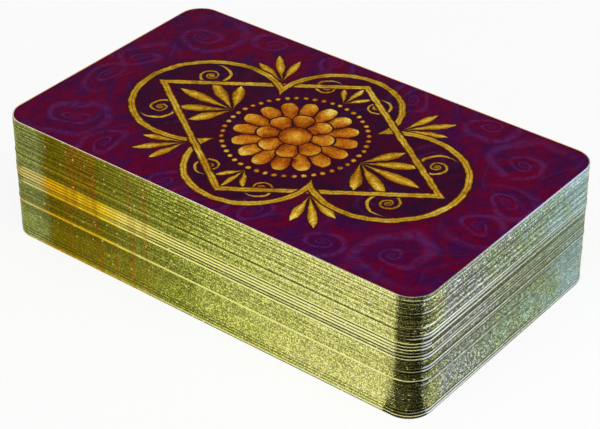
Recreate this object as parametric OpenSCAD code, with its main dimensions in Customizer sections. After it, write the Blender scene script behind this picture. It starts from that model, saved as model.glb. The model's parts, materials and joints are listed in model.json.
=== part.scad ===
// Deck of 78 tarot cards with gilt edges, squared up and lying face down.
// The origin is at the middle of the deck's underside. X runs along the cards' short side,
// Y along their long side and Z up.

/* [Card] */
// Short side of a card
card_w = 70; // [56:0.5:90]
// Long side of a card
card_l = 120; // [88:0.5:150]
// Thickness of the card stock with its print and varnish
card_t = 0.38; // [0.25:0.01:0.6]
// Radius of the rounded corners
corner_r = 6; // [1:0.5:12]

/* [Stack] */
// Air left between a card and the one above it
air_gap = 0.025; // [0.01:0.005:0.2]
// How far the top card has crept sideways past the bottom one
lean_w = 0.6; // [0:0.1:5]
// How far the top card has crept lengthways past the bottom one
lean_l = 0.3; // [0:0.1:5]
// Most that a card of the squared stack lies off its line
scatter = 0.02; // [0:0.01:1]
// How far the proud cards stand out at the front corner
proud_by = 0.18; // [0:0.01:1]
// Lowest card of the riffled band, in which every second card stands proud
band_first = 38; // [6:1:50]
// Proud cards in the riffled band
band_proud = 6; // [0:1:12]

/* [Hidden] */
$fn = 64;

// Names of the cards, in the order in which the deck is laid from the bottom up
majors = [
    "the_fool", "the_magician", "the_high_priestess", "the_empress", "the_emperor", "the_hierophant",
    "the_lovers", "the_chariot", "strength", "the_hermit", "wheel_of_fortune", "justice",
    "the_hanged_man", "death", "temperance", "the_devil", "the_tower", "the_star", "the_moon",
    "the_sun", "judgement", "the_world"
];
suits = ["wands", "cups", "swords", "pentacles"];
pip_pairs = ["ace_and_two", "three_and_four", "five_and_six", "seven_and_eight", "nine_and_ten"];
courts = ["page", "knight", "queen", "king"];

// Each node's name and how many cards it holds: the number cards of a suit lie in pairs
PIECES = concat(
    [for (name = majors) [name, 1]],
    [for (suit = suits) each concat(
        [for (pair = pip_pairs) [str(pair, "_of_", suit), 2]],
        [for (court = courts) [str(court, "_of_", suit), 1]]
    )]
);
NODES = [for (piece = PIECES) piece[0]];

// Cards that lie below the node with this index
function cards_below(index) = index == 0 ? 0 : cards_below(index - 1) + PIECES[index - 1][1];
card_count = cards_below(len(PIECES));
pitch = card_t + air_gap;

// Single cards that stand out at the front corner: which card, then the shares of proud_by that it stands
// out sideways and lengthways
loose_cards = [
    [1, 1, 1], [3, 0.7, 0.7], [5, 0.4, 0.4], [21, 0.1, 0.7], [24, 1.2, 0.5], [30, 0.7, 0.3],
    [32, 0.1, 0.8], [35, 0.3, 0.2], [51, 0.3, 0.9], [53, 0.3, 0.9], [55, 0.7, 0.1], [58, 0.5, 0.6],
    [67, 0.3, 0.3], [69, 0.4, 0.3], [73, 0.5, 0.3], [75, 0.5, 0.4]
];
// Every second card of the riffled band stands out sideways by the whole of proud_by, and lengthways by
// shares that take turns
band_shares = [0.6, 0.5, 0.2, 0.6, 0.2, 0.7];
band_cards = [for (step = [0 : 1 : band_proud - 1])
    [band_first + 2 * step, 1, band_shares[step % len(band_shares)]]];
proud_cards = concat(band_cards, loose_cards);

// Sideways and lengthways place of each card before the stack is centred
golden_angle = 137.508;
function creep(card, lean) = lean * (card / (card_count - 1) - 1 / 2);
function stand_out(card, way) =
    let (own = [for (entry = proud_cards) if (entry[0] == card) entry[way]])
    len(own) > 0 ? proud_by * max(own) : 0;
raw_x = [for (card = [0 : card_count - 1])
    creep(card, lean_w) + scatter * sin(golden_angle * card) - stand_out(card, 1)];
raw_y = [for (card = [0 : card_count - 1])
    creep(card, lean_l) + scatter * cos(golden_angle * card) - stand_out(card, 2)];
centre_x = (min(raw_x) + max(raw_x)) / 2;
centre_y = (min(raw_y) + max(raw_y)) / 2;
function card_place(card) = [raw_x[card] - centre_x, raw_y[card] - centre_y, card * pitch];

back_colour = "#5a0a35";
gilt_colour = "#b3a95f";

// Outline of a card: two crossed strips with a round corner in each notch
module card_outline() {
    square([card_w - 2 * corner_r, card_l], center = true);
    square([card_w, card_l - 2 * corner_r], center = true);
    for (side = [-1, 1], end = [-1, 1])
        translate([side * (card_w / 2 - corner_r), end * (card_l / 2 - corner_r)])
            circle(r = corner_r);
}

// One card where it lies in the stack, counted from the bottom
module card(index) {
    color(index == card_count - 1 ? back_colour : gilt_colour)
        translate(card_place(index))
            linear_extrude(card_t)
                card_outline();
}

// The cards of one node
module piece(index) {
    first = cards_below(index);
    for (step = [0 : PIECES[index][1] - 1])
        card(first + step);
}

for (index = [0 : len(NODES) - 1])
    piece(index);
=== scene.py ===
import json
import math
from functools import partialmethod

import bpy
from mathutils import Matrix, Vector
from mathutils.geometry import delaunay_2d_cdt


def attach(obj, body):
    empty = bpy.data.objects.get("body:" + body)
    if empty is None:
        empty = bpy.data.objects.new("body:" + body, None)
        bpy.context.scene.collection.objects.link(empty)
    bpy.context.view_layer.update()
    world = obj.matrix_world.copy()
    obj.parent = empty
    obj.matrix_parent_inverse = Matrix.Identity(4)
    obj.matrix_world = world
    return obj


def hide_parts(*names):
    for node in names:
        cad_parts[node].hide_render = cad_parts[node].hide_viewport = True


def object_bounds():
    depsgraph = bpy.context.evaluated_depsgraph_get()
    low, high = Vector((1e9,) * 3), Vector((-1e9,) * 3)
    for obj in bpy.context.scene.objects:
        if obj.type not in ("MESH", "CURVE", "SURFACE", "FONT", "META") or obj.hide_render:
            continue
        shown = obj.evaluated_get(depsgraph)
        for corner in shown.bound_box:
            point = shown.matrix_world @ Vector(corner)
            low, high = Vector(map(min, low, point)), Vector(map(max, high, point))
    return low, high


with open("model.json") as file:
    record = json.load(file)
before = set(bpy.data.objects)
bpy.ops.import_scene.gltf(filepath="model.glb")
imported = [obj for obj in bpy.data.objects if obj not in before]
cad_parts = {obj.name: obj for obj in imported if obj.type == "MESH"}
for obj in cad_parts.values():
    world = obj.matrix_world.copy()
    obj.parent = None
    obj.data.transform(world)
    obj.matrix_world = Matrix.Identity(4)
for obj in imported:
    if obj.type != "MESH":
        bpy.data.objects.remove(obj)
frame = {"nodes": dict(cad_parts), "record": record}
cad_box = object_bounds()

# Units
MM = 0.001
TAU = 2 * math.pi

# Camera, fitted to the edges of the deck: the image is 600 pixels wide, and angles are in degrees
IMAGE_W = 600
SENSOR_MM = 36
FOCAL_PX = 1946.8
CAMERA_AZIMUTH = -51.3
CAMERA_ELEVATION = 34.2
CAMERA_ROLL = -0.36
CAMERA_DISTANCE = 453.6 * MM
CAMERA_TARGET = Vector((-2.7, -3.5, 13.0)) * MM
CAMERA_CLIP = 10 * MM

# Stage: a white floor, and a black flag before the near corner, between two angles
STAGE_ROUGHNESS = 0.9
FLOOR_HALF = 3.0
FLOOR_LEVEL = -0.02 * MM
FLOOR_WHITE = (0.9, 0.9, 0.9, 1)
FLOOR_GLOW = 0.85
FLAG_LEVEL = 0.1 * MM
FLAG_REACH = 110 * MM
FLAG_START, FLAG_STOP = math.radians(157), math.radians(262)
FLAG_STEPS = 12
FLAG_BLACK = (0.02, 0.02, 0.02, 1)

# Light: the world's strength where it isn't seen, and each lamp's place, watts, size and colour
AMBIENT = 0.15
LAMPS = {
    "overhead": ((0, 0, 0.9), 2.0, 0.7, (1, 1, 1)),
    "key": ((-0.5, -0.2, 0.5), 4.5, 1.0, (1, 0.98, 0.94)),
    "fill": ((0.2, -0.6, 0.4), 3.0, 1.0, (0.94, 0.97, 1)),
    "under": ((0, 0, -0.9), 5.0, 0.7, (1, 1, 1)),
}

# Card stock, with the sides of a card and the height of the deck in millimetres
CARD_W, CARD_L = 70, 120
DECK_H = cad_box[1][2] / MM
CORNER_R = 6 * MM
CORNER_STEPS = 14
RIM_R = 0.04 * MM
RIM_STEPS = 3
WORN_RIM = 0.22 * MM
LEVEL_DIGITS = 6
PROUD = "proud"
PROUD_FULL = 0.2 * MM

# Material slots of a card
BACK, WORN, GILT, FACE, MAIN, TRIM, FIELD = range(7)

# Layout of the faces, in millimetres from the middle of the card
FIELD_W, FIELD_L, FIELD_R = 27.0, 51.5, 4.0
FIELD_LINE = 0.9
NUMERAL_AT, NUMERAL_H = 38.0, 9.0
MEDAL_AT, MEDAL_D = -6.0, 40.0
COURT_EMBLEM_AT, COURT_EMBLEM_H = -14.0, 52.0
CORONET_AT, CORONET_W = 22.0, 30.0
ACE_H = 60.0
FAN_INSET, FAN_REACH, FAN_HALF = 2.2, 10.0, 1.5
FAN_LEANS = (-32, 0, 32)
WREATH_LEAVES, ROSETTE_LEAVES = 24, 12
NUMBERS = ("ace", "two", "three", "four", "five", "six", "seven", "eight", "nine", "ten")
COURTS = ("page", "knight", "queen", "king")
FEWEST_POINTS = 2
DISC_STEPS = 28
LEAF_STEPS = 8
CUT_INSIDE = 1
CUT_EPSILON = 1e-5

# Pips of the cards from ace to ten: those in a side column, and by that number the height of a pip and the
# reach of the middle column as a share of the side ones
PIP_COLUMN, PIP_ROW = 16.5, 36.0
SIDE_PIPS = (0, 0, 0, 2, 2, 3, 3, 3, 4, 4)
PIP_HEIGHTS = {0: 28.0, 2: 21.0, 3: 21.0, 4: 17.5}
MIDDLE_REACH = {0: 1.0, 2: 0.0, 3: 0.5, 4: 2 / 3}


def linear(red, green, blue):
    """A colour given as 0 to 255 screen values, as linear light with full alpha."""
    def channel(value):
        share = value / 255
        return share / 12.92 if share <= 0.04045 else ((share + 0.055) / 1.055) ** 2.4
    return (channel(red), channel(green), channel(blue), 1.0)


WHITE = linear(255, 255, 255)

# Colours of the back's print: a stop is a place on a colour ramp with its screen values
WINE = linear(93, 0, 39)
PLUM = linear(44, 0, 32)
VIOLET = linear(58, 6, 60)
SCROLL = linear(91, 37, 97)
SHADE = linear(30, 6, 26)
INK_LINE = linear(44, 16, 16)
GOLD_STOPS = ((0.0, 92, 28, 4), (0.35, 164, 80, 10), (0.7, 210, 144, 36), (1.0, 238, 208, 112))
PALE_GOLD_STOPS = ((0.0, 84, 46, 4), (0.35, 158, 106, 16), (0.7, 212, 168, 46), (1.0, 246, 226, 130))

# Colours of the faces, with the screen values of each family's inks: main, trim and field
CREAM = linear(236, 224, 196)
AGED_CREAM = linear(214, 194, 152)
FRAME_INK = linear(120, 84, 34)
INKS = {
    "trumps": ((112, 26, 60), (188, 142, 56), (226, 206, 212)),
    "wands": ((58, 98, 60), (170, 96, 44), (220, 224, 190)),
    "cups": ((150, 44, 48), (196, 152, 62), (232, 210, 196)),
    "swords": ((50, 72, 120), (150, 160, 172), (210, 220, 228)),
    "pentacles": ((190, 138, 44), (104, 66, 34), (228, 216, 182)),
}

# Colours of the gilding on a long side, from its near end to its far end: the gold's own colour with painted
# light, lighter towards the near end and darker towards the far end
GILT_STOPS = (
    (0.15, 226, 224, 128), (0.35, 202, 205, 104), (0.55, 142, 148, 56),
    (0.7, 114, 110, 26), (0.85, 100, 88, 3),
)
# Painted highlight on the gilding where a card stands proud, from the near end to the far end
HIGHLIGHT_STOPS = (
    (0.15, 255, 253, 176), (0.5, 255, 253, 150), (0.64, 255, 242, 130),
    (0.74, 246, 216, 40), (0.9, 230, 172, 8),
)
# Painted amber reflection towards the far end of a long side
AMBER_REFLECTION = linear(150, 72, 8)
# Painted pale reflection at the far end of a long side, on the plain gilding and on the painted highlight
PALE_END_REFLECTION = linear(124, 132, 70)
PALE_HIGHLIGHT = linear(214, 216, 140)
GRAZING_GILT = linear(255, 250, 200)
# Colour of the painted glints
SPARKLE = linear(252, 236, 140)

# Colours of the gilding on a short side, from the near corner to the other one: painted cool reflections,
# with a painted highlight where a card stands proud and a painted olive reflection near the near corner
COOL_REFLECTION_STOPS = (
    (0.05, 128, 137, 164), (0.35, 120, 137, 142), (0.55, 115, 141, 126),
    (0.75, 114, 149, 152), (0.95, 128, 166, 194),
)
COOL_HIGHLIGHT = linear(234, 243, 248)
OLIVE_REFLECTION = linear(136, 143, 100)

# Colours of the worn rims
WORN_PAPER = linear(234, 232, 210)
WORN_GILT = linear(226, 216, 168)
DULL_GILT = linear(84, 78, 20)
# Painted lilac highlight on the top card's edge on a short side
LILAC_HIGHLIGHT = linear(190, 194, 232)
TAN_EDGE = linear(226, 164, 92)


def new_node(tree, kind, inputs=(), **settings):
    """A shader node with these settings, and with its inputs fed by name or by number."""
    node = tree.nodes.new(f"ShaderNode{kind}")
    for name, value in settings.items():
        setattr(node, name, value)
    for slot, value in dict(inputs).items():
        feed(node.inputs[slot], value)
    return node


class Num:
    """A number that a shader works out at each point, with plain arithmetic."""

    def __init__(self, socket):
        self.tree = socket.id_data
        self.socket = socket

    def apply(self, operation, *others):
        node = new_node(self.tree, "Math", enumerate((self, *others)), operation=operation)
        return Num(node.outputs[0])

    __add__ = partialmethod(apply, "ADD")
    __sub__ = partialmethod(apply, "SUBTRACT")
    __mul__ = partialmethod(apply, "MULTIPLY")
    __truediv__ = partialmethod(apply, "DIVIDE")
    __abs__ = partialmethod(apply, "ABSOLUTE")
    least = partialmethod(apply, "MINIMUM")
    most = partialmethod(apply, "MAXIMUM")
    power = partialmethod(apply, "POWER")
    sine = partialmethod(apply, "SINE")
    floor = partialmethod(apply, "FLOOR")
    nearest = partialmethod(apply, "ROUND")
    above = partialmethod(apply, "GREATER_THAN")

    def log(self):
        return self.apply("LOGARITHM", math.e)

    def flip(self):
        """One less this number."""
        return self.apply("MULTIPLY_ADD", -1.0, 1.0)

    def wrapped(self):
        """The number less its nearest whole number, from -0.5 to 0.5."""
        return self.apply("WRAP", 0.5, -0.5)


def feed(slot, value):
    """Sets a socket to a value, or links it to what works the value out."""
    if isinstance(value, Num):
        value.tree.links.new(value.socket, slot)
    elif isinstance(value, bpy.types.NodeSocket):
        value.id_data.links.new(value, slot)
    else:
        slot.default_value = value


def length(x, y):
    return (x * x + y * y).power(0.5)


def angle(y, x):
    return y.apply("ARCTAN2", x)


def run(share, start, stop):
    """Goes from start to stop as a share goes from 0 to 1."""
    return share * (stop - start) + start


def spread(draw, width, middle=0.5):
    """A random number of 0 to 1, set about zero and made this wide."""
    return (draw - middle) * width


def ramp(value, low, high):
    """Runs smoothly from 0 at low to 1 at high, which may be the lower number."""
    ends = {"Value": value, "From Min": low, "From Max": high}
    node = new_node(value.tree, "MapRange", ends, interpolation_type="SMOOTHSTEP")
    return Num(node.outputs["Result"])


def between(share, low, high):
    """The number that lies a share of the way from low to high."""
    node = new_node(share.tree, "Mix", {0: share, 2: low, 3: high}, data_type="FLOAT")
    return Num(node.outputs[0])


def tinted(share, low, high):
    """The colour that lies a share of the way from low to high."""
    return new_node(share.tree, "Mix", {0: share, 6: low, 7: high}, data_type="RGBA").outputs[2]


def colour_ramp(value, stops):
    node = new_node(value.tree, "ValToRGB", {0: value})
    points = node.color_ramp.elements
    while len(points) < len(stops):
        points.new(1.0)
    for point, (place, *colour) in zip(points, stops):
        point.position = place
        point.color = linear(*colour)
    return node.outputs[0]


def noise(place, size, detail=2.0, distortion=0.0):
    """Cloudy noise with blobs of about this size in millimetres, and its colour."""
    form = {"Vector": place, "Scale": 1 / size, "Detail": detail, "Distortion": distortion}
    node = new_node(place.id_data, "TexNoise", form)
    return Num(node.outputs["Fac"]), node.outputs["Color"]


def cells(place, size):
    """Cells of about this size in millimetres: the random colour of each, and how far its heart is."""
    node = new_node(place.id_data, "TexVoronoi", {"Vector": place, "Scale": 1 / size})
    return node.outputs["Color"], Num(node.outputs["Distance"])


def random_share(number):
    """A random number of 0 to 1 that goes with this number."""
    node = new_node(number.tree, "TexWhiteNoise", {"W": number}, noise_dimensions="1D")
    return Num(node.outputs["Value"])


def proud_share(tree):
    """How far a card stands proud of its neighbours, from -1 where it lies back to 1."""
    return Num(new_node(tree, "Attribute", attribute_name=PROUD).outputs["Fac"])


def vector_math(operation, first, *others):
    node = new_node(first.id_data, "VectorMath", enumerate((first, *others)), operation=operation)
    return node.outputs["Vector"]


def scaled(vector, factor):
    """A vector or a colour times a number."""
    node = new_node(vector.id_data, "VectorMath", {0: vector, "Scale": factor}, operation="SCALE")
    return node.outputs["Vector"]


def centred(colour, width):
    """A vector spread evenly about zero, from a random colour."""
    return scaled(vector_math("SUBTRACT", colour, (0.5, 0.5, 0.5)), width)


def parts_of(vector):
    node = new_node(vector.id_data, "SeparateXYZ", {0: vector})
    return [Num(output) for output in node.outputs]


def new_material(name):
    """A node material, its main shader, and the place in millimetres from the deck's foot."""
    material = bpy.data.materials.new(name)
    material.use_nodes = True
    tree = material.node_tree
    shader = tree.nodes["Principled BSDF"]
    place = scaled(new_node(tree, "TexCoord").outputs["Object"], 1 / MM)
    return material, shader, place


def set_look(shader, colour, roughness, gloss):
    feed(shader.inputs["Base Color"], colour)
    feed(shader.inputs["Roughness"], roughness)
    feed(shader.inputs["Specular IOR Level"], gloss)


def added(name, data):
    """A new object in the scene."""
    thing = bpy.data.objects.new(name, data)
    bpy.context.scene.collection.objects.link(thing)
    return thing


# Layout of the back's ornament, in millimetres from the middle of the card
STRAP_HALF = 0.78
STRAP_LINE = 0.34
FINE_LINE = STRAP_LINE * 0.6
PETAL_LINE = 0.26
SIDE_LOBE_AT, SIDE_LOBE_R = 15.5, 15.5
END_LOBE_AT, END_LOBE_R = 26.5, 18.0
LOZENGE_X, LOZENGE_Y = 27.6, 40.5
ROSETTE_R, ROSETTE_PETALS = 15.0, 16
INNER_R, INNER_PETALS = 9.4, 8
BOSS_R = 3.8
BEAD_RING_R, BEAD_R, BEADS = 16.9, 0.6, 48
SOFT = 0.12
SPIRAL_WINDS = 1.0
HALO = (4.0, -2.0)

# Forms of the ornament's motifs, in millimetres or as shares of a petal's or a leaf's reach
GROOVE = (0.052, 0.26)
PETAL_BLUNT, PETAL_SHOULDER = 2.6, 0.76
FROND_SHRINK, FROND_BULGE, FROND_EDGE = 0.16, 0.15, 0.05
TENDRIL_HALF, TENDRIL_WIDEN, TENDRIL_FADE = 0.16, 0.04, 0.3

# How light the gold is: on a strap from edge to middle, and on the other motifs a tone with what is added
# at the middle, at the tip or for each millimetre outward
GROOVE_INK = 0.4
STRAP_TONES = (0.3, 0.7)
PETAL_TONE, PETAL_CROWN, PETAL_TIP = -0.06, 0.42, 0.5
FROND_TONE, FROND_CROWN, FROND_TIP = 0.05, 0.45, 0.35
TENDRIL_TONE, TENDRIL_OUTWARD = 0.4, 0.05
BEAD_TONE, BEAD_OUTWARD = 0.4, -0.7
BOSS_TONE, BOSS_OUTWARD = 0.22, -0.2

# Leaf fans in one quarter of the back: root, heading, number of leaves, degrees apart and reach
FANS = (
    ((0.0, 18.6), (0.0, 1.0), 5, 30, 16.5),
    ((18.2, 0.0), (1.0, 0.0), 3, 36, 8.2),
    ((17.4, 18.0), (0.743, 0.669), 3, 28, 12.5),
)

# Gold tendrils in one quarter of the back: eye, reach and hand
TENDRILS = (
    ((9.2, 33.2), 5.2, 1),
    ((21.6, 7.4), 3.8, -1),
)


class Ornament:
    """Layers of gold paint with dark outlines, laid over one another."""

    def __init__(self):
        self.cover = self.ink = self.tone = None

    def lay(self, area, ink, tone):
        """Adds a layer: where it lies, where it is gold rather than outline, and how light the gold is."""
        if self.cover is None:
            self.cover, self.ink, self.tone = area, ink, tone
            return
        self.cover = self.cover.most(area)
        self.ink = between(area, self.ink, ink)
        self.tone = between(area, self.tone, tone)


def inside(distance, soft=SOFT):
    """1 where a distance is below zero and 0 where it is above, with a soft step."""
    return ramp(distance, soft, -soft)


def strap(distance):
    """A grooved band along an outline: its area, its gold part and its tone."""
    across = abs(distance)
    area = inside(across - (STRAP_HALF + STRAP_LINE))
    ink = inside(across - STRAP_HALF) * run(ramp(across, *GROOVE), GROOVE_INK, 1.0)
    tone = run((across / STRAP_HALF).power(2.0).flip(), *STRAP_TONES)
    return area, ink, tone


def petal_ring(radius, turn, count, reach, phase):
    """A round of petals: their area, their gold part and their tone."""
    step = TAU / count
    across = ((turn + phase) / step).wrapped()
    share = abs(across) * 2
    to_tip = run(share.power(PETAL_BLUNT).flip(), PETAL_SHOULDER * reach, reach) - radius
    to_side = share.flip() * radius * (step / 2)
    to_edge = to_tip.least(to_side)
    area = inside(to_tip * -1.0 - STRAP_LINE)
    ink = inside(to_edge * -1.0 + PETAL_LINE)
    tone = share.power(2.0).flip() * PETAL_CROWN + (radius / reach).power(3.0) * PETAL_TIP + PETAL_TONE
    return area, ink, tone


def palmette(along, aside, petals, apart, reach):
    """A fan of slim leaves from one root: their area, their gold part and their tone."""
    radius = length(along, aside)
    turn = angle(aside, along)
    step = math.radians(apart)
    across = abs((turn / step).wrapped()) * step * radius
    past_fan = abs(turn) - step * petals / 2
    from_middle = abs((turn / step).nearest())
    share = radius / reach / (from_middle * -FROND_SHRINK + 1.0)
    bulge = (share * math.pi).sine() * share * (FROND_BULGE * reach)
    outside = (across - bulge).most(past_fan * reach).most((share - 1.0) * reach)
    area = inside(outside - STRAP_LINE)
    ink = inside(outside)
    tone = (across / (bulge + FROND_EDGE)).flip() * FROND_CROWN + share * FROND_TIP + FROND_TONE
    return area, ink, tone


def spiral(x, y, at, reach, hand):
    """Share of a turn away from a spiral that widens outward, and the distance from its eye."""
    here_x = x - at[0]
    here_y = y - at[1]
    radius = length(here_x, here_y)
    turn = angle(here_y, here_x) * (hand / TAU)
    arm = abs(((radius / reach).log() * SPIRAL_WINDS - turn).wrapped())
    return arm, radius


def tendril(x, y, at, reach, hand):
    """A thin gold spiral: its area, its gold part and its tone."""
    arm, radius = spiral(x, y, at, reach, hand)
    line = arm * radius - (radius * TENDRIL_WIDEN + TENDRIL_HALF)
    within = inside(radius - reach, TENDRIL_FADE)
    tone = radius * TENDRIL_OUTWARD + TENDRIL_TONE
    return inside(line - FINE_LINE) * within, inside(line) * within, tone


def lay_ornament(x, y):
    """The interlaced quatrefoil and lozenge, with leaves, tendrils, beads and a rosette."""
    work = Ornament()
    side = abs(x)
    end = abs(y)
    radius = length(x, y)
    turn = angle(y, x)

    for root, heading, petals, apart, reach in FANS:
        away_x = side - root[0]
        away_y = end - root[1]
        along = away_x * heading[0] + away_y * heading[1]
        aside = away_x * heading[1] - away_y * heading[0]
        work.lay(*palmette(along, aside, petals, apart, reach))
    for at, reach, hand in TENDRILS:
        work.lay(*tendril(side, end, at, reach, hand))

    side_lobe = length(side - SIDE_LOBE_AT, y) - SIDE_LOBE_R
    end_lobe = length(x, end - END_LOBE_AT) - END_LOBE_R
    quatrefoil = side_lobe.least(end_lobe)
    slope = math.hypot(LOZENGE_X, LOZENGE_Y)
    lozenge = side * (LOZENGE_Y / slope) + end * (LOZENGE_X / slope) - LOZENGE_X * LOZENGE_Y / slope
    over = (x * y * (side / LOZENGE_X - end / LOZENGE_Y)).above(0.0)
    work.lay(*strap(between(over, quatrefoil, lozenge)))
    work.lay(*strap(between(over, lozenge, quatrefoil)))

    step = TAU / BEADS
    bead = length(radius - BEAD_RING_R, (turn / step).wrapped() * (step * BEAD_RING_R)) - BEAD_R
    work.lay(inside(bead - FINE_LINE), inside(bead), bead * BEAD_OUTWARD + BEAD_TONE)

    work.lay(*petal_ring(radius, turn, ROSETTE_PETALS, ROSETTE_R, 0.0))
    work.lay(*petal_ring(radius, turn, INNER_PETALS, INNER_R, TAU / INNER_PETALS / 2))
    boss = radius - BOSS_R
    work.lay(inside(boss - STRAP_LINE), inside(boss), boss * BOSS_OUTWARD + BOSS_TONE)
    halo = ramp(quatrefoil.least(lozenge), *HALO)
    return work, halo


# Paint of the ground: size in millimetres, detail and distortion of each noise, and how far it sweeps others
GROUND_CLOUD = (10.0, 3.0, 1.6)
GROUND_STROKE = (3.2, 3.0, 2.0)
GROUND_DRIFT = (20.0, 1.0)
BRUSH = (2.6, 3.0)
BRUSH_STRETCH = (0.16, 1.0, 0.0)
BRUSH_SWEEP, SCROLL_SWEEP = 44.0, 14.0

# Paint of the ground: where each colour sets in, and the most of it that is laid on
CLOUD_SHARE, BRUSH_SHARE = 0.6, 0.4
VIOLET_FROM = (0.4, 0.62)
PLUM_FROM, PLUM_MOST = (0.42, 0.72), 0.4
LILAC_FROM, LILAC_MOST = (0.56, 0.78), 0.5
SCROLL_ARM, SCROLL_FADE = (0.24, 0.04), 0.2
SCROLL_FROM, SCROLL_SHARES = (0.3, 0.65), (0.06, 0.61)

# Painted scrolls in one quarter of the back: eye, reach and hand
SCROLLS = (
    ((23.5, 48.0), 11.0, 1),
    ((5.5, 53.0), 8.0, -1),
    ((30.0, 31.5), 8.0, -1),
    ((31.0, 12.0), 7.0, 1),
    ((10.5, 30.0), 6.0, 1),
)

# Finish of the back: wander of the hand, shade round the ornament, warm and pale gold, and varnish
WANDER_SIZE, WANDER = 2.6, 0.8
GRAIN_SIZE = 0.45
HALO_BRUSH, HALO_SHARES = (0.75, 0.3), (0.4, 0.8)
WARMTH = (8.0, 2.0, 0.6)
WARMTH_MIDDLE, WARMTH_SWING = 0.55, 0.8
STROKE_SWING, GRAIN_SWING = 0.7, 0.7
PALE_FROM, PALE_WANDER = (12.0, 21.0), 24.0
VARNISH_ROUGHNESS = (0.36, 0.48)
VARNISH_GLOSS = 0.01
GRAIN_BUMP, GRAIN_DEPTH = 0.05, 0.02 * MM


def painted_ground(place):
    """Wine and violet clouds in swept strokes with soft violet scrolls, and the noise of the strokes."""
    cloud, _ = noise(place, *GROUND_CLOUD)
    stroke, _ = noise(place, *GROUND_STROKE)
    _, drift = noise(place, *GROUND_DRIFT)
    swept = vector_math("ADD", place, centred(drift, BRUSH_SWEEP))
    brush, _ = noise(vector_math("MULTIPLY", swept, BRUSH_STRETCH), *BRUSH)
    mottle = tinted(ramp(cloud * CLOUD_SHARE + brush * BRUSH_SHARE, *VIOLET_FROM), WINE, VIOLET)
    mottle = tinted(ramp(stroke, *PLUM_FROM) * PLUM_MOST, mottle, PLUM)
    mottle = tinted(ramp(brush, *LILAC_FROM) * LILAC_MOST, mottle, SCROLL)
    x, y, _ = parts_of(vector_math("ADD", place, centred(drift, SCROLL_SWEEP)))
    scrolls = None
    for at, reach, hand in SCROLLS:
        arm, radius = spiral(abs(x), abs(y), at, reach, hand)
        one = ramp(arm, *SCROLL_ARM) * inside(radius - reach, reach * SCROLL_FADE)
        scrolls = one if scrolls is None else scrolls.most(one)
    brushed = scrolls * run(ramp(stroke, *SCROLL_FROM), *SCROLL_SHARES)
    return tinted(brushed, mottle, SCROLL), stroke


def back_print():
    """Varnished back of a card: gold ornament painted on a clouded wine and violet ground."""
    material, shader, place = new_material("card_back_print")
    on_back = vector_math("MULTIPLY", place, (1.0, 1.0, 0.0))
    _, wander = noise(on_back, WANDER_SIZE)
    x, y, _ = parts_of(vector_math("ADD", on_back, centred(wander, WANDER)))
    ground, stroke = painted_ground(on_back)
    grain, _ = noise(on_back, GRAIN_SIZE)
    work, halo = lay_ornament(x, y)
    ground = tinted(halo * run(ramp(stroke, *HALO_BRUSH), *HALO_SHARES), ground, SHADE)
    warmth, _ = noise(on_back, *WARMTH)
    warmed = work.tone + spread(warmth, WARMTH_SWING, WARMTH_MIDDLE)
    tone = warmed + spread(stroke, STROKE_SWING) + spread(grain, GRAIN_SWING)
    pale = ramp(length(x, y) + spread(warmth, PALE_WANDER), *PALE_FROM)
    gold = tinted(pale, colour_ramp(tone, GOLD_STOPS), colour_ramp(tone, PALE_GOLD_STOPS))
    printed = tinted(work.ink, INK_LINE, gold)
    set_look(shader, tinted(work.cover, ground, printed), run(grain, *VARNISH_ROUGHNESS), VARNISH_GLOSS)
    relief = {"Strength": GRAIN_BUMP, "Distance": GRAIN_DEPTH, "Height": grain}
    bump = new_node(place.id_data, "Bump", relief)
    feed(shader.inputs["Normal"], bump.outputs["Normal"])
    return material


# Gilding, its texture: sizes in millimetres, and which random draws make a speck or a sparkle, both painted
# glints
FLAKE, SPECK = 0.22, 0.6
SPECK_DRAW, SPECK_HEART = (0.93, 0.97), (0.45, 0.25)
SPARKLE_DRAW, SPARKLE_HEART = (0.966, 0.984), (0.56, 0.36)
EDGE_CLOUD = (9.0, 2.0, 0.4)
STREAK, STREAK_STRETCH = (3.2, 2.0), (0.0, 1.0, 0.06)
FLAKE_TILT = 0.11
FLAKE_ROUGHNESS, CORNER_ROUGHNESS = (0.12, 0.26), 0.04

# Gilding, where it lies: shares of a side's length, but FAR_END and the corners in millimetres
LEVEL_LIFT = 0.02
END_ON = (0.3, 0.95)
RIM_TILT = (0.1, 0.5)
CORNER_SIDE, CORNER_END = (0.4, 2.0), (0.2, 1.2)
DEPTH_WANDER = 0.2
FAR_HALF = (0.52, 0.7)
FAR_END, FAR_END_WANDER = (45.0, 50.0), 6.0
END_FADE = (0.35, 1.0)
COOL_WANDER = 1.1
OLIVE_REFLECTION_UNTIL, OLIVE_REFLECTION_WANDER = (0.18, 0.07), 0.1
DULL_AMBER_REFLECTION, DULL_AMBER_REFLECTION_MOST = (0.52, 0.68), 0.42
HIGHLIGHT_AMBER_REFLECTION, HIGHLIGHT_AMBER_REFLECTION_MOST = (0.48, 0.7), 0.5

# Gilding, its bright and dark lines, a painted highlight on cards that stand proud and painted shade on sunk
# cards and under proud ones: pairs that end_on runs through go from a long side to a short one
END_GAIN = 1.7
STANDING = (0.5, 0.92)
UNDERSIDE_TOP, UNDERSIDE_FOOT = (0.2, 0.48), (0.06, 0.32)
SUNK_FROM, SUNK_TO = -0.22, (-0.9, -0.6)
LEAST_HIGHLIGHT, SUNK_HIGHLIGHT = 0.4, 0.7
FAR_HIGHLIGHT_FOOT, FAR_HIGHLIGHT_TOP = (3.0, 8.0), (25.0, 22.0)
END_HIGHLIGHT, END_HIGHLIGHT_TOP = (0.75, 0.1), (29.0, 26.0)

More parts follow.
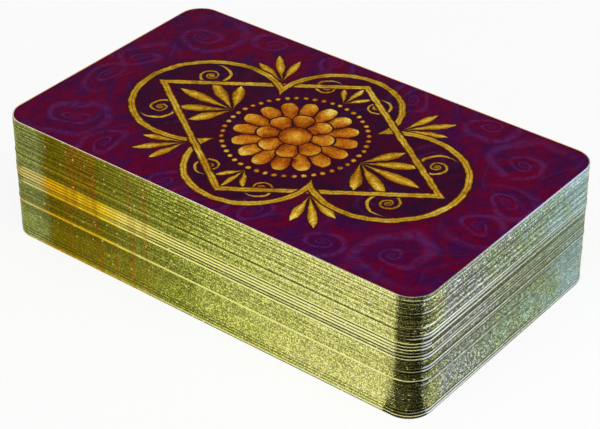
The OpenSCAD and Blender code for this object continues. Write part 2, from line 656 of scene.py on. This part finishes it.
# Gilding, how light its colour is, with painted light and shade: heights in millimetres, and what is added or
# taken away there
EDGE_LIGHT, LEAST_LIGHT = 0.95, 0.04
DARK_DRAW, DARK_HEIGHT, DARK_BY = (0.34, 0.1), (7.0, 20.0), (0.06, 0.46)
END_DARK, FADED_DARK = 1.5, 0.7
SWING_HEIGHT, SWINGS = (7.0, 22.0), (0.08, 0.38)
FOOT_HEIGHT, FOOT_GLOWS = (9.0, 6.0), (-0.03, 0.18)
WAIST_FOOT, WAIST_TOP, WAIST_DARK = (6.0, 8.0), (15.5, 14.0), 0.1
TOP_HEIGHT, TOP_GLOWS = (20.0, 24.0), (0.12, 0.36)
SUNK_DARK = (0.86, 0.24)

# Gilding, its grain: sharpness, gain and base of the flakes, how they fade, and what lies over them
END_FLAKE, END_FLAKE_FADE, END_FLAKE_FADED = (5.0, 4.2, 0.34), (0.45, 1.0), 0.65
SIDE_FLAKE, SIDE_FLAKE_FADED = (4.0, 2.6, 0.54), 0.45
HIGHLIGHT_GRAIN = 0.98
# Painted shade on the rims at the corners, which tilt up or down: the share of the light left there
RIM_DIM = 0.15
GLINTS, FAR_GLINT = (0.9, 0.4), 0.6
TOP_CARD = (0.42, 0.36)
LILAC_ACROSS, LILAC_ON_EDGE = (0.2, 0.55), 0.8


def below_top(height, depths):
    """Runs from 0 to 1 between two depths in millimetres below the top of the deck."""
    low, high = depths
    return ramp(height, DECK_H - low, DECK_H - high)


class EdgeMap:
    """Where a point of the gilding lies along its side, up the stack and on its card."""

    def __init__(self, place, pitch):
        tree = place.id_data
        x, y, self.height = parts_of(place)
        _, facing, upward = parts_of(new_node(tree, "TexCoord").outputs["Normal"])
        self.cloud, _ = noise(place, *EDGE_CLOUD)
        self.depth = y / CARD_L + 0.5 + spread(self.cloud, DEPTH_WANDER)
        self.across = x / CARD_W + 0.5
        self.end_on = ramp(abs(facing), *END_ON)
        self.far = ramp(self.depth, *FAR_HALF)
        self.far_end = ramp(y + spread(self.cloud, FAR_END_WANDER), *FAR_END)
        self.fading = between(self.end_on, self.far, ramp(self.across, *END_FADE))
        past_side = abs(x) - (CARD_W / 2 - CORNER_R / MM)
        past_end = abs(y) - (CARD_L / 2 - CORNER_R / MM)
        self.corner = ramp(past_side, *CORNER_SIDE) * ramp(past_end, *CORNER_END)
        self.corner_rim = ramp(abs(upward), *RIM_TILT) * self.corner
        level = self.height * (MM / pitch) + LEVEL_LIFT
        self.card_tone = random_share(level.floor())
        rise = proud_share(tree) * run(self.end_on, 1.0, END_GAIN)
        self.mark_lines(rise, level - level.floor())

    def mark_lines(self, rise, up_card):
        """Finds the cards that stand proud, which get a painted highlight, as sunk ones towards the far end
        also do, and what lies sunk or under a proud card, which gets painted shade.
        """
        standing = ramp(rise, *STANDING)
        shade_top = run(self.end_on, *UNDERSIDE_TOP)
        shade_foot = run(self.end_on, *UNDERSIDE_FOOT)
        underside_shade = standing * ramp(up_card, shade_top, shade_foot)
        self.sunk = ramp(rise, SUNK_FROM, run(self.end_on, *SUNK_TO)).most(underside_shade)
        far_foot = run(ramp(self.height, *FAR_HIGHLIGHT_FOOT), LEAST_HIGHLIGHT, 1.0)
        far_highlight = far_foot * ramp(self.height, *FAR_HIGHLIGHT_TOP)
        end_top = run(ramp(self.height, *END_HIGHLIGHT_TOP), LEAST_HIGHLIGHT, 1.0)
        end_highlight = ramp(self.across, *END_HIGHLIGHT) * end_top
        most_highlight = between(self.end_on, between(self.far, 1.0, far_highlight), end_highlight)
        self.painted_highlight = standing.most(self.sunk * self.far * SUNK_HIGHLIGHT) * most_highlight


def gilt_colour(place, edge):
    """Colour of the gilding: warm on a long side, with painted light from its near end to its far end and
    painted amber and pale reflections at the far end, a painted cool reflection on a short one, and the
    painted highlight where a card stands proud.
    """
    streak, _ = noise(vector_math("MULTIPLY", place, STREAK_STRETCH), *STREAK)
    cool_reflection = colour_ramp(edge.across + spread(edge.cloud, COOL_WANDER), COOL_REFLECTION_STOPS)
    cool_reflection = tinted(ramp(edge.across + spread(edge.cloud, OLIVE_REFLECTION_WANDER), *OLIVE_REFLECTION_UNTIL), cool_reflection, OLIVE_REFLECTION)

    def on_both_sides(stops, reflection_from, reflection_most, pale_reflection, on_short_side):
        amber_reflection = edge.far * ramp(streak, *reflection_from) * reflection_most
        warm = tinted(amber_reflection, colour_ramp(edge.depth, stops), AMBER_REFLECTION)
        return tinted(edge.end_on, tinted(edge.far_end, warm, pale_reflection), on_short_side)

    dull = on_both_sides(GILT_STOPS, DULL_AMBER_REFLECTION, DULL_AMBER_REFLECTION_MOST, PALE_END_REFLECTION, cool_reflection)
    highlighted = on_both_sides(
        HIGHLIGHT_STOPS, HIGHLIGHT_AMBER_REFLECTION, HIGHLIGHT_AMBER_REFLECTION_MOST, PALE_HIGHLIGHT, COOL_HIGHLIGHT)
    return tinted(edge.painted_highlight, dull, highlighted)


def gilt_light(edge):
    """How light the gilding's colour is: each card's own tone and darker cards, painted shade on sunk cards
    and under proud ones, a darker waist, and painted glows at the foot and the top.
    """
    dark = ramp(edge.card_tone, *DARK_DRAW) * run(ramp(edge.height, *DARK_HEIGHT), *DARK_BY)
    dark = dark * run(edge.end_on, 1.0, END_DARK) * run(edge.fading, 1.0, FADED_DARK)
    swing = spread(edge.card_tone, run(ramp(edge.height, *SWING_HEIGHT), *SWINGS))
    foot_glow = ramp(edge.height, *FOOT_HEIGHT) * between(edge.far, *FOOT_GLOWS) * edge.end_on.flip()
    waist = ramp(edge.height, *WAIST_FOOT) * ramp(edge.height, *WAIST_TOP) * WAIST_DARK
    top_glow = ramp(edge.height, *TOP_HEIGHT) * run(edge.end_on, *TOP_GLOWS)
    lined = (swing - dark) * edge.painted_highlight.flip() + foot_glow + top_glow - waist
    light = lined - edge.sunk * run(edge.fading, *SUNK_DARK) + EDGE_LIGHT
    return light.most(LEAST_LIGHT)


def gilt_grain(edge, flake, speck):
    """How flakes and specks, the specks painted glints, break up the light, less where the gilding fades or
    has its painted highlight, with painted shade on the rims at the corners.
    """
    def flaked(sharpness, gain, base):
        return flake.power(sharpness) * gain + base

    end_fade = ramp(edge.across, *END_FLAKE_FADE) * END_FLAKE_FADED
    on_end = between(end_fade, flaked(*END_FLAKE), 1.0)
    on_side = between(edge.far * SIDE_FLAKE_FADED, flaked(*SIDE_FLAKE), 1.0)
    broken = between(edge.end_on, on_side, on_end) + speck
    return between(edge.painted_highlight, broken, HIGHLIGHT_GRAIN) * run(edge.corner_rim, 1.0, RIM_DIM)


def gilt_edge(pitch):
    """Gilded cut edge: flakes and a few sparkles as painted glints, a tone for each card, painted light and
    shade, and a painted highlight where one stands proud.
    """
    material, shader, place = new_material("card_gilt_edge")
    flake_colour, _ = cells(place, FLAKE)
    light_draw, rough_draw, _ = parts_of(flake_colour)
    speck_colour, from_heart = cells(place, SPECK)
    speck_draw, sparkle_draw, _ = parts_of(speck_colour)
    speck = ramp(speck_draw, *SPECK_DRAW) * ramp(from_heart, *SPECK_HEART)
    sparkle = ramp(sparkle_draw, *SPARKLE_DRAW) * ramp(from_heart, *SPARKLE_HEART)

    edge = EdgeMap(place, pitch)
    light = gilt_light(edge) * gilt_grain(edge, light_draw, speck)
    lit = scaled(gilt_colour(place, edge), light)
    glint = sparkle * edge.painted_highlight.flip() * run(edge.end_on, *GLINTS) * run(edge.far, 1.0, FAR_GLINT)
    lit = tinted(glint, lit, SPARKLE)
    # Painted lilac highlight along the top card's edge on a short side
    lilac = below_top(edge.height, TOP_CARD) * edge.end_on * ramp(edge.across, *LILAC_ACROSS)
    lit = tinted(lilac * LILAC_ON_EDGE, lit, LILAC_HIGHLIGHT)
    feed(shader.inputs["Base Color"], vector_math("MINIMUM", lit, WHITE[:3]))
    shader.inputs["Metallic"].default_value = 1.0
    shader.inputs["Specular Tint"].default_value = GRAZING_GILT
    feed(shader.inputs["Roughness"], run(rough_draw, *FLAKE_ROUGHNESS) + edge.corner * CORNER_ROUGHNESS)
    geometry = new_node(place.id_data, "NewGeometry")
    tilt = centred(flake_colour, FLAKE_TILT)
    leaning = vector_math("ADD", geometry.outputs["Normal"], tilt)
    feed(shader.inputs["Normal"], vector_math("NORMALIZE", leaning))
    return material


# Worn rim: depths in from the outline and down from the top, and places on the card, in millimetres
RIM_FIBRE = (0.4, 2.0)
RIM_DEPTHS = (0.9, 0.5)
RIM_STANDING = (0.5, 0.95)
WORN_FROM, WORN_MOST = (0.35, 0.7), 0.6
SHADED_FROM, SHADED_MOST = (-10.0, -45.0), 0.7
LILAC_RIM = (-20.0, 5.0)
TOP_RIM = (0.3, 0.1)
RIM_ROUGHNESS = (0.5, 0.7)
RIM_GLOSS = 0.2


def near_rim(place, half):
    """Runs from 0 to 1 across a card's rim, on a side that lies this half from its middle."""
    low, high = RIM_DEPTHS
    return ramp(place, half - low, half - high)


def worn_rim():
    """Narrow rim on a card's flat: worn paper on the top card, with painted shade towards the near end and a
    painted lilac highlight on the short sides, and on a lower card gilt with a painted highlight where it
    stands proud.
    """
    material, shader, place = new_material("card_worn_rim")
    fibre, _ = noise(place, *RIM_FIBRE)
    x, y, height = parts_of(place)
    end_on = near_rim(abs(y), CARD_L / 2)
    depth = y / CARD_L + 0.5
    standing = ramp(proud_share(place.id_data) * run(end_on, 1.0, END_GAIN), *RIM_STANDING)
    shown = standing * between(ramp(depth, *FAR_HALF), 1.0, ramp(height, *FAR_HIGHLIGHT_TOP))
    bright = tinted(end_on, colour_ramp(depth, HIGHLIGHT_STOPS), COOL_HIGHLIGHT)
    ledge = tinted(shown, DULL_GILT, bright)
    paper = tinted(ramp(fibre, *WORN_FROM) * WORN_MOST, WORN_PAPER, WORN_GILT)
    paper = tinted(ramp(y, *SHADED_FROM) * SHADED_MOST, paper, SHADE)
    paper = tinted(end_on * ramp(x, *LILAC_RIM), paper, LILAC_HIGHLIGHT)
    far_rim = near_rim(x, CARD_W / 2).most(near_rim(y, CARD_L / 2))
    paper = tinted(far_rim, paper, TAN_EDGE)
    colour = tinted(below_top(height, TOP_RIM), ledge, paper)
    set_look(shader, colour, run(fibre, *RIM_ROUGHNESS), RIM_GLOSS)
    return material


# Printed paper of the faces
PAPER_CLOUD, CLOUD_FROM, CLOUD_MOST = (14.0, 3.0), (0.3, 0.75), 0.3
PAPER_FIBRE, FIBRE_FROM, FIBRE_MOST = (0.6, 2.0), (0.45, 0.75), 0.2
PAPER_ROUGHNESS = (0.38, 0.53)
PAPER_GLOSS = 0.3


def paper_print(name, colour, shadow):
    """Printed paper of one colour, with clouds of a second one and the grain of its fibres."""
    material, shader, place = new_material(name)
    cloud, _ = noise(place, *PAPER_CLOUD)
    fibre, _ = noise(place, *PAPER_FIBRE)
    share = ramp(cloud, *CLOUD_FROM) * CLOUD_MOST + ramp(fibre, *FIBRE_FROM) * FIBRE_MOST
    set_look(shader, tinted(share, colour, shadow), run(fibre, *PAPER_ROUGHNESS), PAPER_GLOSS)
    return material


def face_inks(family):
    """Main ink, trim ink and field ink of a family of cards."""
    main, trim, field = (linear(*ink) for ink in INKS[family])
    return (
        paper_print(f"{family}_ink", main, INK_LINE),
        paper_print(f"{family}_trim_ink", trim, FRAME_INK),
        paper_print(f"{family}_field_ink", field, CREAM),
    )


def flat(x, y):
    return Vector((x, y))


def half_oval(level, half_w, height, start):
    """Outline of half an oval on a level line, from the angle where its arc starts."""
    turns = [start + math.pi * step / DISC_STEPS for step in range(DISC_STEPS + 1)]
    return [flat(half_w * math.cos(turn), level + height * math.sin(turn)) for turn in turns]


def star(points, outer, inner):
    """Outline of a star about the origin, with one point straight up."""
    corners = []
    for step in range(2 * points):
        turn = TAU / 4 + step * math.pi / points
        reach = inner if step % 2 else outer
        corners.append(reach * flat(math.cos(turn), math.sin(turn)))
    return corners


def disc(radius, at=(0, 0)):
    """Outline of a disc."""
    return [flat(*at) + point for point in star(DISC_STEPS // 2, radius, radius)]


def bar(start, end, half):
    """Outline of a straight bar of this half width."""
    along = (flat(*end) - flat(*start)).normalized()
    aside = half * flat(-along.y, along.x)
    return [flat(*start) + aside, flat(*start) - aside, flat(*end) - aside, flat(*end) + aside]


def post(foot, top, half):
    """Outline of an upright bar between two levels."""
    return bar((0, foot), (0, top), half)


def cross_bar(reach, level, half):
    """Outline of a level bar that reaches this far to either side."""
    return bar((-reach, level), (reach, level), half)


def leaf(root, heading, reach, half):
    """Outline of a pointed leaf from its root, with the heading in degrees."""
    along = reach * flat(math.cos(math.radians(heading)), math.sin(math.radians(heading)))
    aside = half / reach * flat(-along.y, along.x)
    rise = [step / LEAF_STEPS for step in range(LEAF_STEPS + 1)]
    upper = [flat(*root) + along * share + aside * math.sin(share * math.pi) for share in rise]
    lower = [flat(*root) + along * share - aside * math.sin(share * math.pi) for share in rise[1:-1]]
    return upper + lower[::-1]


def rounded_outline(half_w, half_l, radius):
    """Points round a rectangle with round corners, anticlockwise seen from above, each with its heading."""
    points = []
    for quarter, (side, end) in enumerate(((1, 1), (-1, 1), (-1, -1), (1, -1))):
        centre = Vector((side * (half_w - radius), end * (half_l - radius), 0))
        for step in range(CORNER_STEPS + 1):
            turn = (quarter + step / CORNER_STEPS) * TAU / 4
            heading = Vector((math.cos(turn), math.sin(turn), 0))
            points.append((centre + radius * heading, heading))
    return points


def panel(half_w, half_l, radius):
    """Outline of a rounded rectangle."""
    return [point.to_2d() for point, _ in rounded_outline(half_w, half_l, radius)]


def placed(motif, at, size):
    """A motif scaled and moved."""
    return [(look, [flat(*at) + size * point for point in outline]) for look, outline in motif]


def wand():
    """A budding staff, one unit tall."""
    staff, knob = (-0.5, 0.46, 0.055), (0.08, (0, 0.45))
    leaf_off, leaf_lean, leaf_size = 0.04, 48, (0.26, 0.06)
    motif = [(MAIN, post(*staff)), (MAIN, disc(*knob))]
    for side, level in ((1, 0.12), (-1, -0.02), (1, -0.2)):
        motif.append((TRIM, leaf((side * leaf_off, level), 90 - side * leaf_lean, *leaf_size)))
    return motif


def cup():
    """A goblet, one unit tall."""
    bowl, foot = (0.2, 0.32, 0.36, math.pi), (-0.5, 0.26, 0.16, 0)
    stem, lip, knob = (-0.42, -0.1, 0.06), (0.36, 0.23, 0.05), (0.1, (0, -0.275))
    return [
        (MAIN, half_oval(*bowl)), (MAIN, post(*stem)), (MAIN, half_oval(*foot)),
        (TRIM, cross_bar(*lip)), (TRIM, disc(*knob)),
    ]


def sword():
    """A straight sword with its point up, one unit tall."""
    foot, foot_half, shoulder, shoulder_half, point = -0.22, 0.06, 0.38, 0.05, 0.5
    fuller, grip = (-0.2, 0.3, 0.012), (-0.42, -0.24, 0.035)
    guard, pommel = (0.2, -0.23, 0.035), (0.065, (0, -0.44))
    blade = [
        flat(-foot_half, foot), flat(foot_half, foot),
        flat(shoulder_half, shoulder), flat(0, point), flat(-shoulder_half, shoulder),
    ]
    return [
        (TRIM, blade), (MAIN, post(*fuller)), (MAIN, cross_bar(*guard)),
        (MAIN, post(*grip)), (MAIN, disc(*pommel)),
    ]


def pentacle():
    """A coin with a star, one unit across."""
    rim_r, ring_r, coin_r, points = 0.5, 0.44, 0.4, (5, 0.36, 0.14)
    return [(MAIN, disc(rim_r)), (TRIM, disc(ring_r)), (MAIN, disc(coin_r)), (FIELD, star(*points))]


EMBLEMS = {"wands": wand, "cups": cup, "swords": sword, "pentacles": pentacle}


def coronet(points):
    """A crown with this many points, one unit wide, standing on its middle."""
    half, height, valley = 0.5, 0.46, 0.22
    band_at, band_half, pearl_r = 0.07, 0.03, 0.05
    step = 1 / points
    tips = [flat(half - step * (index + 0.5), height) for index in range(points)]
    levels = [height] + [valley] * (points - 1) + [height]
    valleys = [flat(half - step * index, level) for index, level in enumerate(levels)]
    edge = [corner for pair in zip(valleys, tips) for corner in pair] + [valleys[-1]]
    crown = [flat(-half, 0), flat(half, 0)] + edge
    band = cross_bar(half, band_at, band_half)
    return [(MAIN, crown), (TRIM, band)] + [(TRIM, disc(pearl_r, tip)) for tip in tips]


def numeral(number):
    """A Roman numeral about the origin, one unit tall, with a ring for nought."""
    half, lean, stroke_half, ring_hole = 0.5, 0.28, 0.09, 0.36
    widths = {"I": 0.4, "V": 0.8, "X": 0.8}
    if number == 0:
        return [(MAIN, disc(half)), (FIELD, disc(ring_hole))]
    signs = ""
    for value, sign in ((10, "X"), (9, "IX"), (5, "V"), (4, "IV"), (1, "I")):
        signs += sign * (number // value)
        number %= value
    strokes = {
        "I": [((0, -half), (0, half))],
        "V": [((-lean, half), (0, -half)), ((lean, half), (0, -half))],
        "X": [((-lean, half), (lean, -half)), ((lean, half), (-lean, -half))],
    }
    total = sum(widths[sign] for sign in signs)
    motif = []
    for index, sign in enumerate(signs):
        at = sum(widths[other] for other in signs[:index]) + widths[sign] / 2 - total / 2
        bars = [(MAIN, bar(start, end, stroke_half)) for start, end in strokes[sign]]
        motif += placed(bars, (at, 0), 1)
    return motif


def medal(number):
    """A wreathed ring, one unit across, round a star with as many points as the number, or a rosette."""
    ring_r, ring_hole = 0.5, 0.46
    leaf_reach, leaf_half, leaf_leans = 0.13, 0.024, (28, 52)
    star_r, star_waist, petal_half = 0.42, 0.2, 0.055
    boss_r, boss_heart = 0.12, 0.07
    motif = [(TRIM, disc(ring_r)), (FIELD, disc(ring_hole))]
    for index in range(WREATH_LEAVES):
        turn = index * TAU / WREATH_LEAVES
        root = (ring_r * math.cos(turn), ring_r * math.sin(turn))
        heading = math.degrees(turn) + leaf_leans[index % 2]
        motif.append((MAIN, leaf(root, heading, leaf_reach, leaf_half)))
    if number > 1:
        motif.append((MAIN, star(number, star_r, star_waist)))
    else:
        turns = [360 * index / ROSETTE_LEAVES for index in range(ROSETTE_LEAVES)]
        motif += [(MAIN, leaf((0, 0), turn, star_r, petal_half)) for turn in turns]
    return motif + [(TRIM, disc(boss_r)), (FIELD if number == 0 else MAIN, disc(boss_heart))]


def corner_fans():
    """Three leaves in each corner of the field, in millimetres."""
    fans = []
    for side in (-1, 1):
        for end in (-1, 1):
            root = (side * (FIELD_W - FAN_INSET), end * (FIELD_L - FAN_INSET))
            inward = math.degrees(math.atan2(-end, -side))
            fans += [(TRIM, leaf(root, inward + lean, FAN_REACH, FAN_HALF)) for lean in FAN_LEANS]
    return fans


def evenly(count):
    """Places in a row from 1 down to -1, or the middle for one alone."""
    if count == 1:
        return [0.0]
    return [1 - 2 * row / (count - 1) for row in range(count)]


def pip_places(count):
    """Places of the pips of a number card, from -1 to 1 across and along."""
    beside = SIDE_PIPS[count - 1]
    middle = count - 2 * beside
    reach = MIDDLE_REACH[beside]
    sides = [(side, along) for side in (-1, 1) for along in evenly(beside)]
    if (beside, middle) == (3, 1):
        return sides + [(0, reach)]
    return sides + [(0, reach * along) for along in evenly(middle)]


def face_motifs(name, index):
    """Family of a card and what is printed on its face, in millimetres."""
    rank, _, suit = name.removeprefix("card_").partition("_of_")
    motifs = [
        (TRIM, panel(FIELD_W + FIELD_LINE, FIELD_L + FIELD_LINE, FIELD_R)),
        (FIELD, panel(FIELD_W, FIELD_L, FIELD_R)),
    ]
    if suit not in EMBLEMS:
        motifs += corner_fans()
        motifs += placed(numeral(index), (0, NUMERAL_AT), NUMERAL_H)
        motifs += placed(medal(index), (0, MEDAL_AT), MEDAL_D)
        return "trumps", motifs
    emblem = EMBLEMS[suit]()
    if rank in COURTS:
        motifs += corner_fans()
        motifs += placed(emblem, (0, COURT_EMBLEM_AT), COURT_EMBLEM_H)
        motifs += placed(coronet(COURTS.index(rank) + FEWEST_POINTS), (0, CORONET_AT), CORONET_W)
        return suit, motifs
    count = NUMBERS.index(rank) + 1
    size = ACE_H if count == 1 else PIP_HEIGHTS[SIDE_PIPS[count - 1]]
    for across, along in pip_places(count):
        motifs += placed(emblem, (across * PIP_COLUMN, along * PIP_ROW), size)
    return suit, motifs


def anticlockwise(outline):
    """The outline in anticlockwise order."""
    turns = zip(outline, outline[1:] + outline[:1])
    area = sum(one.x * two.y - two.x * one.y for one, two in turns)
    return outline if area > 0 else outline[::-1]


def inlaid(outline, motifs):
    """A flat face cut along its motifs: its points, which of them lie on the outline, triangles and looks."""
    layers = [(FACE, outline)]
    for look, shape in motifs:
        layers.append((look, anticlockwise([flat(-point.x, point.y) for point in shape])))
    points = [point for _, shape in layers for point in shape]
    loops = []
    for _, shape in layers:
        first = loops[-1][-1] + 1 if loops else 0
        loops.append(list(range(first, first + len(shape))))
    cut = delaunay_2d_cdt(points, [], loops, CUT_INSIDE, CUT_EPSILON)
    new_points, _, triangles, old_points, _, owners = cut
    edge = [min(old) if old and min(old) < len(outline) else None for old in old_points]
    return new_points, edge, triangles, [layers[max(own)][0] for own in owners]


def card_profile(thickness):
    """Inset from the cut edge and height of each ring of points, from the back down to the face."""
    rim = [TAU / 4 * step / RIM_STEPS for step in range(RIM_STEPS + 1)]
    upper = [(RIM_R * (1 - math.sin(a)), thickness - RIM_R * (1 - math.cos(a))) for a in rim]
    rings = [(RIM_R + WORN_RIM, thickness), *upper]
    return rings + [(inset, thickness - height) for inset, height in reversed(rings)]


def card_mesh(name, size, level, offset, motifs):
    """A card with rounded corners and softened rims, its printed face down at this level."""
    rings = card_profile(size.z)
    points = []
    shares = []
    for inset, height in rings:
        outline = rounded_outline(size.x / 2 - inset, size.y / 2 - inset, CORNER_R - inset)
        for point, heading in outline:
            points.append(point + Vector((0, 0, level + height)))
            shares.append(min(max(offset.dot(heading) / PROUD_FULL, -1.0), 1.0))
    count = len(points) // len(rings)
    faces = [list(range(count))]
    looks = [BACK]
    for ring in range(len(rings) - 1):
        look = WORN if ring in (0, len(rings) - 2) else GILT
        upper = ring * count
        lower = upper + count
        for step in range(count):
            following = (step + 1) % count
            faces.append((upper + step, lower + step, lower + following, upper + following))
            looks.append(look)
    last_ring = len(points) - count
    outline = [point.to_2d() / MM for point in points[last_ring:]]
    cut_points, edge, triangles, cut_looks = inlaid(outline, motifs)
    places = []
    for point, on_edge in zip(cut_points, edge):
        places.append(len(points) if on_edge is None else last_ring + on_edge)
        if on_edge is None:
            points.append(Vector((point.x * MM, point.y * MM, level)))
            shares.append(0.0)
    faces += [[places[corner] for corner in reversed(triangle)] for triangle in triangles]
    looks += cut_looks
    mesh = bpy.data.meshes.new(name)
    mesh.from_pydata(points, [], faces)
    for polygon, look in zip(mesh.polygons, looks):
        polygon.material_index = look
        polygon.use_smooth = look == GILT
    mesh.attributes.new(PROUD, "FLOAT", "POINT").data.foreach_set("value", shares)
    return mesh


def card_boxes(node):
    """Lowest and highest corner of each card of a node, from the bottom up."""
    corners = [vertex.co for vertex in frame["nodes"][node].data.vertices]
    levels = sorted({round(corner.z, LEVEL_DIGITS) for corner in corners})
    boxes = []
    for low, high in zip(levels[0::2], levels[1::2]):
        own = [c for c in corners if low <= round(c.z, LEVEL_DIGITS) <= high]
        boxes.append((
            Vector((min(c.x for c in own), min(c.y for c in own), low)),
            Vector((max(c.x for c in own), max(c.y for c in own), high)),
        ))
    return boxes


def card_names(node):
    """Name of each card of a node, from the bottom up."""
    if "_and_" not in node:
        return [f"card_{node}"]
    ranks, suit = node.split("_of_")
    return [f"card_{rank}_of_{suit}" for rank in ranks.split("_and_")]


def stand_out(index, middles):
    """How far the middle of a card lies off the middles of its neighbours."""
    near = [middles[other] for other in (index - 1, index + 1) if 0 <= other < len(middles)]
    return middles[index] - sum(near, Vector()) / len(near)


def lay_cards():
    """Every card of the deck in place of its solid."""
    cards = [
        (low, high, name, node, body)
        for body, nodes in frame["record"]["behaviour"]["bodies"].items()
        for node in nodes
        for name, (low, high) in zip(card_names(node), card_boxes(node))
    ]
    cards.sort(key=lambda card: card[0].z)
    middles = [(low + high) / 2 for low, high, *_ in cards]
    pitch = (cards[-1][0].z - cards[0][0].z) / (len(cards) - 1)
    stock = (back_print(), worn_rim(), gilt_edge(pitch), paper_print("card_stock", CREAM, AGED_CREAM))
    inks = {family: face_inks(family) for family in INKS}
    for index, (low, high, name, node, body) in enumerate(cards):
        family, motifs = face_motifs(name, index)
        mesh = card_mesh(name, high - low, low.z, stand_out(index, middles), motifs)
        for material in stock + inks[family]:
            mesh.materials.append(material)
        card = added(name, mesh)
        card.location = ((low.x + high.x) / 2, (low.y + high.y) / 2, 0)
        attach(card, body)
        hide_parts(node)


def add_camera():
    azimuth = math.radians(CAMERA_AZIMUTH)
    elevation = math.radians(CAMERA_ELEVATION)
    back = Vector((
        math.sin(azimuth) * math.cos(elevation),
        -math.cos(azimuth) * math.cos(elevation),
        math.sin(elevation),
    ))
    right = Vector((math.cos(azimuth), math.sin(azimuth), 0))
    up = back.cross(right)
    turned = Matrix((right, up, back)).transposed() @ Matrix.Rotation(math.radians(CAMERA_ROLL), 3, "Z")
    data = bpy.data.cameras.new("camera")
    data.sensor_width = SENSOR_MM
    data.lens = FOCAL_PX * SENSOR_MM / IMAGE_W
    data.clip_start = CAMERA_CLIP
    camera = added("camera", data)
    camera.matrix_world = Matrix.Translation(CAMERA_TARGET + back * CAMERA_DISTANCE) @ turned.to_4x4()
    bpy.context.scene.camera = camera


def shown_directly(tree):
    """1 on rays that show the background: from the camera, off metal and through glass."""
    path = new_node(tree, "LightPath")
    camera, glossy, through = (
        Num(path.outputs[name])
        for name in ("Is Camera Ray", "Is Glossy Ray", "Is Transmission Ray")
    )
    return camera.most(glossy).most(through)


def stage_sheet(name, corners, colour):
    """A flat polygon of the stage with a new matt material: its object, node tree and shader."""
    mesh = bpy.data.meshes.new(name)
    mesh.from_pydata(corners, [], [list(range(len(corners)))])
    sheet = added(name, mesh)
    material = bpy.data.materials.new(name)
    material.use_nodes = True
    shader = material.node_tree.nodes["Principled BSDF"]
    set_look(shader, colour, STAGE_ROUGHNESS, 0.0)
    mesh.materials.append(material)
    return sheet, material.node_tree, shader


def mixed_shader(share, first, second):
    """Two shaders mixed, the second one by this share."""
    return new_node(first.id_data, "MixShader", {0: share, 1: first.outputs[0], 2: second.outputs[0]})


def add_floor():
    """A white floor that keeps a faint shadow, and is clear seen from below."""
    corners = [(side * FLOOR_HALF, end * FLOOR_HALF, FLOOR_LEVEL)
               for side, end in ((-1, -1), (1, -1), (1, 1), (-1, 1))]
    floor, tree, shader = stage_sheet("floor", corners, FLOOR_WHITE)
    floor.visible_shadow = False
    glow = new_node(tree, "Emission")
    lit = mixed_shader(shown_directly(tree) * FLOOR_GLOW, shader, glow)
    backfacing = new_node(tree, "NewGeometry").outputs["Backfacing"]
    one_way = mixed_shader(backfacing, lit, new_node(tree, "BsdfTransparent"))
    feed(tree.nodes["Material Output"].inputs["Surface"], one_way.outputs[0])


def add_flag():
    """A black card laid before the near corner, which only the gilding mirrors."""
    low, _ = cad_box
    centre = Vector((low[0] + CORNER_R, low[1] + CORNER_R, FLAG_LEVEL))
    rim = [FLAG_START + (FLAG_STOP - FLAG_START) * step / FLAG_STEPS for step in range(FLAG_STEPS + 1)]
    corners = [centre] + [centre + FLAG_REACH * Vector((math.cos(a), math.sin(a), 0)) for a in rim]
    flag, _, _ = stage_sheet("flag", corners, FLAG_BLACK)
    flag.visible_camera = False
    flag.visible_diffuse = False
    flag.visible_shadow = False


def add_lamp(name, place, power, size, colour):
    """A square lamp that points at the middle of the stage."""
    data = bpy.data.lights.new(name, "AREA")
    data.shape = "SQUARE"
    data.size = size
    data.energy = power
    data.color = colour
    lamp = added(name, data)
    lamp.location = place
    lamp.rotation_euler = (-Vector(place)).to_track_quat("-Z", "Y").to_euler()


def add_light():
    """A white world, dimmer as light than as background, and soft lamps."""
    world = bpy.data.worlds.new("studio")
    world.use_nodes = True
    background = world.node_tree.nodes["Background"]
    background.inputs["Color"].default_value = WHITE
    feed(background.inputs["Strength"], between(shown_directly(world.node_tree), AMBIENT, 1.0))
    bpy.context.scene.world = world
    for name, lamp in LAMPS.items():
        add_lamp(name, *lamp)


add_camera()
lay_cards()
add_floor()
add_flag()
add_light()
bpy.context.scene.view_settings.view_transform = "Standard"
